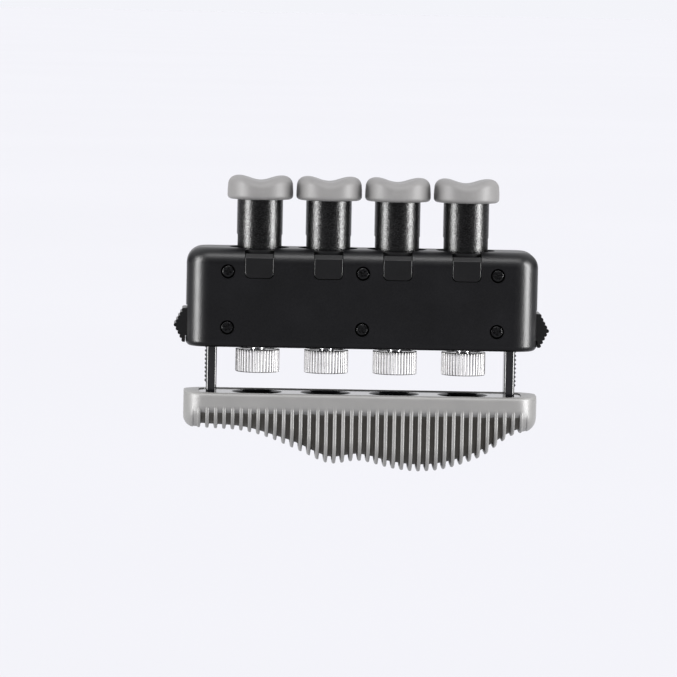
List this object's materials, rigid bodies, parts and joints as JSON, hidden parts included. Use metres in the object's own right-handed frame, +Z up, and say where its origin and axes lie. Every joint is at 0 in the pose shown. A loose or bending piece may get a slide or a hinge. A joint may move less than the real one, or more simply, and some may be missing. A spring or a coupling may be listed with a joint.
{
  "type": "finger exerciser",
  "caption": "Hand-held finger exerciser: a black housing with sprung plungers, a tension knob under each, and a ribbed palm rest that slides on toothed posts.",
  "frame": {"origin": "under the middle of the housing, at the height of the lowest fin of the palm pad", "axes": "+X along the row of plungers, +Y from the screw-head side to the plain side, +Z up towards the finger caps"},
  "size_m": [0.1008, 0.0206, 0.0788],
  "materials": {
    "housing_black": "fine satin grain",
    "bushing_black": "satin",
    "screw_black": "black oxide",
    "plunger_black": "satin black",
    "cap_rubber": "soft matte",
    "pad_rubber": "soft matte",
    "knob_chrome": "polished",
    "spindle_steel": "turned",
    "spring_steel": "drawn wire",
    "seat_brass": "turned",
    "plate_gloss_black": "polished",
    "post_gloss_black": "polished",
    "lock_black": "satin"
  },
  "bodies": {
    "housing": {"housing_front": "housing_black", "housing_back": "housing_black", "housing_screws": "screw_black", "guide_bushing_1": "bushing_black", "guide_bushing_2": "bushing_black", "guide_bushing_3": "bushing_black", "guide_bushing_4": "bushing_black", "spring_1": "spring_steel", "spring_2": "spring_steel", "spring_3": "spring_steel", "spring_4": "spring_steel", "lock_pin_left": "spindle_steel", "lock_pin_right": "spindle_steel", "lock_spring_left": "spring_steel", "lock_spring_right": "spring_steel"},
    "finger_1": {"plunger_1": "plunger_black", "cap_1": "cap_rubber"},
    "tension_1": {"tension_knob_1": "knob_chrome", "tension_screw_1": "spindle_steel"},
    "seat_1": {"spring_seat_1": "seat_brass"},
    "finger_2": {"plunger_2": "plunger_black", "cap_2": "cap_rubber"},
    "tension_2": {"tension_knob_2": "knob_chrome", "tension_screw_2": "spindle_steel"},
    "seat_2": {"spring_seat_2": "seat_brass"},
    "finger_3": {"plunger_3": "plunger_black", "cap_3": "cap_rubber"},
    "tension_3": {"tension_knob_3": "knob_chrome", "tension_screw_3": "spindle_steel"},
    "seat_3": {"spring_seat_3": "seat_brass"},
    "finger_4": {"plunger_4": "plunger_black", "cap_4": "cap_rubber"},
    "tension_4": {"tension_knob_4": "knob_chrome", "tension_screw_4": "spindle_steel"},
    "seat_4": {"spring_seat_4": "seat_brass"},
    "palm_rest": {"pad_plate": "plate_gloss_black", "palm_pad": "pad_rubber", "post_left": "post_gloss_black", "post_right": "post_gloss_black", "post_screws": "spindle_steel"},
    "lock_left": {"lock_rocker_left": "lock_black"},
    "lock_right": {"lock_rocker_right": "lock_black"}
  },
  "joints": [
    {"name": "finger_1_press", "type": "slide", "parent": "housing", "child": "finger_1", "axis": [0, 0, 1], "range_m": [-0.012, 0], "stiffness_N_per_m": 800, "springref_m": 0.003, "deforming": ["spring_1"]},
    {"name": "finger_2_press", "type": "slide", "parent": "housing", "child": "finger_2", "axis": [0, 0, 1], "range_m": [-0.012, 0], "stiffness_N_per_m": 800, "springref_m": 0.003, "deforming": ["spring_2"]},
    {"name": "finger_3_press", "type": "slide", "parent": "housing", "child": "finger_3", "axis": [0, 0, 1], "range_m": [-0.012, 0], "stiffness_N_per_m": 800, "springref_m": 0.003, "deforming": ["spring_3"]},
    {"name": "finger_4_press", "type": "slide", "parent": "housing", "child": "finger_4", "axis": [0, 0, 1], "range_m": [-0.012, 0], "stiffness_N_per_m": 800, "springref_m": 0.003, "deforming": ["spring_4"]},
    {"name": "knob_1_turn", "type": "hinge", "parent": "housing", "child": "tension_1", "pos_m": [-0.02775, 0, 0.029], "axis": [0, 0, -1], "range_deg": [0, 3240]},
    {"name": "seat_1_rise", "type": "slide", "parent": "housing", "child": "seat_1", "axis": [0, 0, 1], "range_m": [0, 0.0064]},
    {"name": "knob_2_turn", "type": "hinge", "parent": "housing", "child": "tension_2", "pos_m": [-0.00925, 0, 0.029], "axis": [0, 0, -1], "range_deg": [0, 3240]},
    {"name": "seat_2_rise", "type": "slide", "parent": "housing", "child": "seat_2", "axis": [0, 0, 1], "range_m": [0, 0.0064]},
    {"name": "knob_3_turn", "type": "hinge", "parent": "housing", "child": "tension_3", "pos_m": [0.00925, 0, 0.029], "axis": [0, 0, -1], "range_deg": [0, 3240]},
    {"name": "seat_3_rise", "type": "slide", "parent": "housing", "child": "seat_3", "axis": [0, 0, 1], "range_m": [0, 0.0064]},
    {"name": "knob_4_turn", "type": "hinge", "parent": "housing", "child": "tension_4", "pos_m": [0.02775, 0, 0.029], "axis": [0, 0, -1], "range_deg": [0, 3240]},
    {"name": "seat_4_rise", "type": "slide", "parent": "housing", "child": "seat_4", "axis": [0, 0, 1], "range_m": [0, 0.0064]},
    {"name": "palm_rest_height", "type": "slide", "parent": "housing", "child": "palm_rest", "axis": [0, 0, 1], "range_m": [-0.00228, 0.0114]},
    {"name": "lock_left_release", "type": "hinge", "parent": "housing", "child": "lock_left", "pos_m": [-0.0439, 0, 0.0385], "axis": [0, 1, 0], "range_deg": [0, 12], "stiffness_Nm_per_rad": 0.05, "springref_deg": -8.59, "deforming": ["lock_spring_left"]},
    {"name": "lock_right_release", "type": "hinge", "parent": "housing", "child": "lock_right", "pos_m": [0.0439, 0, 0.0385], "axis": [0, -1, 0], "range_deg": [0, 12], "stiffness_Nm_per_rad": 0.05, "springref_deg": -8.59, "deforming": ["lock_spring_right"]}
  ],
  "couplings": [
    {"joint": "seat_1_rise", "follows": "knob_1_turn", "m_per_rad": 0.00011141},
    {"joint": "seat_2_rise", "follows": "knob_2_turn", "m_per_rad": 0.00011141},
    {"joint": "seat_3_rise", "follows": "knob_3_turn", "m_per_rad": 0.00011141},
    {"joint": "seat_4_rise", "follows": "knob_4_turn", "m_per_rad": 0.00011141}
  ]
}
